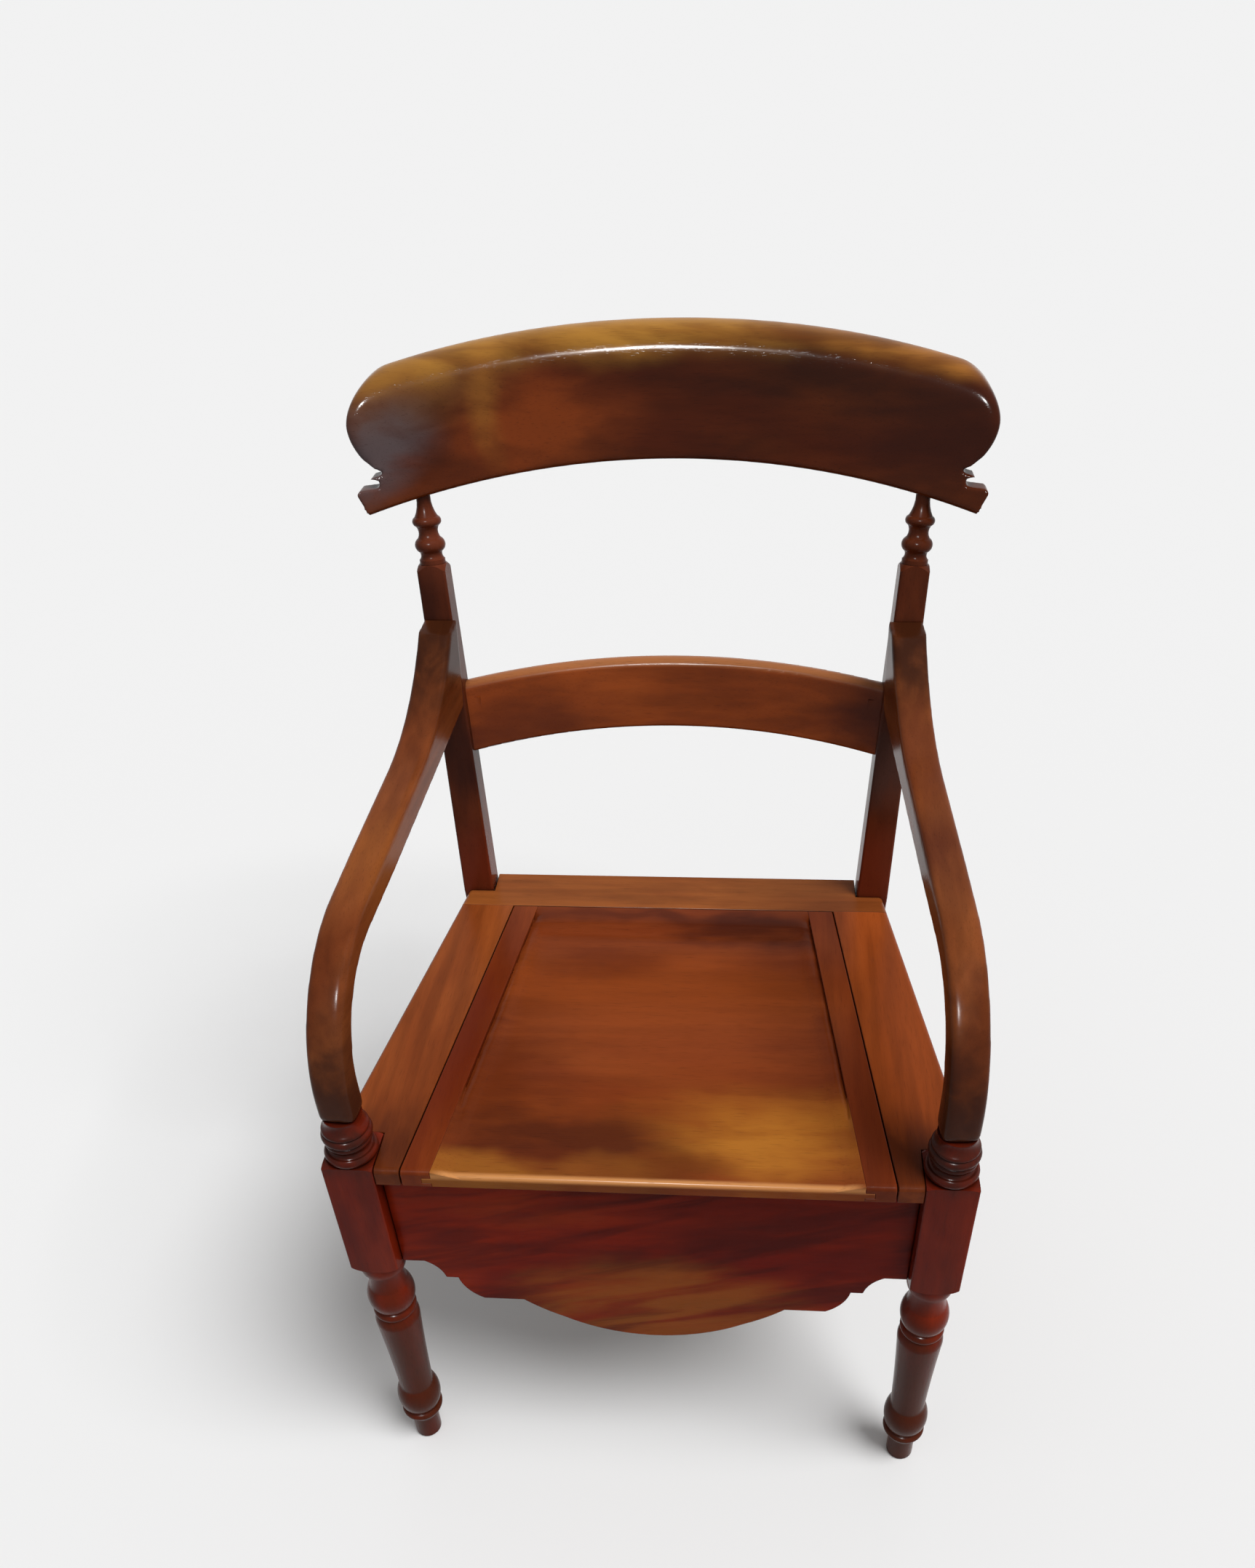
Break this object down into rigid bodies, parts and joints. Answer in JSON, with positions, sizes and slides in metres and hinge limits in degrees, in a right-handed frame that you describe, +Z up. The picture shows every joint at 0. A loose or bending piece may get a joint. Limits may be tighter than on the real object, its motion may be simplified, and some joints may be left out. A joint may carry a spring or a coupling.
{
  "type": "elbow chair",
  "caption": "Mahogany elbow chair with a rolled crest rail, down-curved arms, turned front legs, a shaped apron and a lift-off seat lid over a pot.",
  "frame": {"origin": "middle of the bounding box's footprint, on the floor", "axes": "+Z up, -Y towards the front of the chair, +X to the right when it is looked at from the front"},
  "size_m": [0.571, 0.559, 0.9562],
  "materials": {
    "mahogany_dark": "french polish",
    "mahogany_light": "french polish",
    "deal": "bare",
    "iron": "dull",
    "earthenware": "glazed"
  },
  "bodies": {
    "frame": {"crest_rail": "mahogany_dark", "mid_rail": "mahogany_dark", "left_back_post": "mahogany_dark", "right_back_post": "mahogany_dark", "left_arm": "mahogany_dark", "right_arm": "mahogany_dark", "left_front_leg": "mahogany_dark", "right_front_leg": "mahogany_dark", "front_apron": "mahogany_dark", "left_side_rail": "mahogany_dark", "right_side_rail": "mahogany_dark", "back_seat_rail": "deal", "left_seat_board": "mahogany_light", "right_seat_board": "mahogany_light", "back_seat_board": "mahogany_light", "pot_board": "deal", "left_ledger": "deal", "right_ledger": "deal", "front_ledger": "deal", "back_ledger": "deal", "corner_braces": "deal", "ledger_screws": "iron", "arm_screws": "iron", "arm_plugs": "mahogany_dark"},
    "pot": {"chamber_pot": "earthenware"},
    "lid": {"lid_panel": "mahogany_light", "left_lid_clamp": "mahogany_light", "right_lid_clamp": "mahogany_light", "lid_battens": "deal", "batten_screws": "iron"}
  },
  "joints": [
    {"name": "pot_lift", "type": "slide", "parent": "frame", "child": "pot", "axis": [0, 0, 1], "range_m": [0, 0.3]},
    {"name": "lid_lift", "type": "slide", "parent": "pot", "child": "lid", "axis": [0, 0, 1], "range_m": [0, 0.3]}
  ]
}
